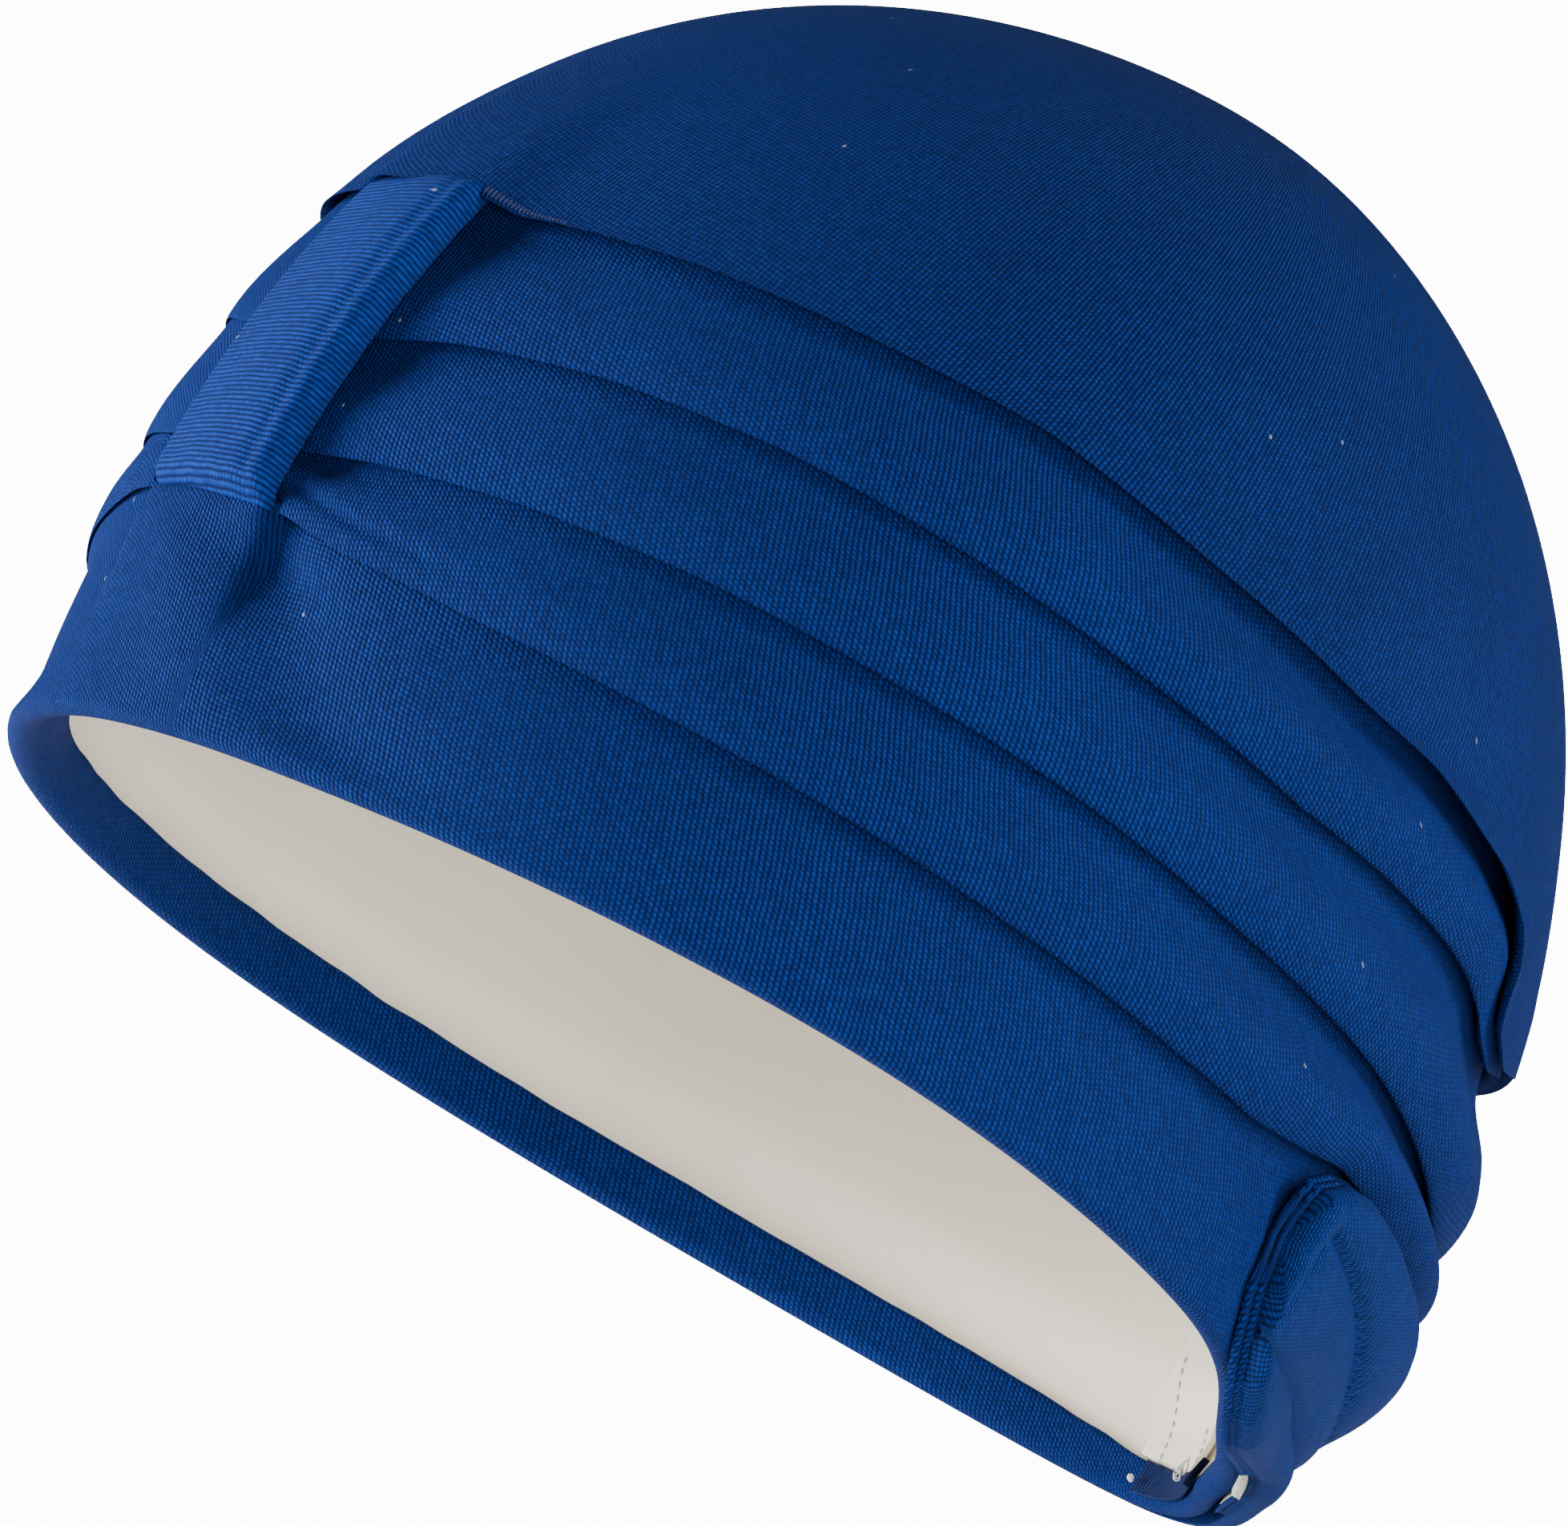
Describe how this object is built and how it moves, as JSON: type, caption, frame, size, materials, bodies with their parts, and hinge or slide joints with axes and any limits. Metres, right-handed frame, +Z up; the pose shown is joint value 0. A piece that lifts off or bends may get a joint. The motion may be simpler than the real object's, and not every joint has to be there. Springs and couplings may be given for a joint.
{
  "type": "swim cap",
  "caption": "Pleated knit swim cap in its worn form, with an upright band at the front, a film lining and a padded closure strap round the nape.",
  "frame": {"origin": "the point inside the top of the lining where the crown of a head touches it", "axes": "+Z up as the cap is worn, leaning back about 32 degrees; the front of the cap faces -Y and the wearer's left is +X"},
  "size_m": [0.1479, 0.2126, 0.1944],
  "materials": {
    "knit": "fine smooth jersey, royal blue",
    "ribbed_knit": "the same jersey turned so that its ribs run across",
    "dark_knit": "navy jersey",
    "lining_film": "soft satin film, cream",
    "pale_tape": "pale brushed tape"
  },
  "bodies": {
    "root": {"crown": "knit", "pleat_upper": "knit", "pleat_middle": "knit", "pleat_lower": "knit", "rim_band": "knit", "front_band": "ribbed_knit", "lining": "lining_film", "lining_panel": "lining_film", "hem_end": "dark_knit", "closure_strap": "knit", "strap_backing": "pale_tape"}
  },
  "joints": []
}
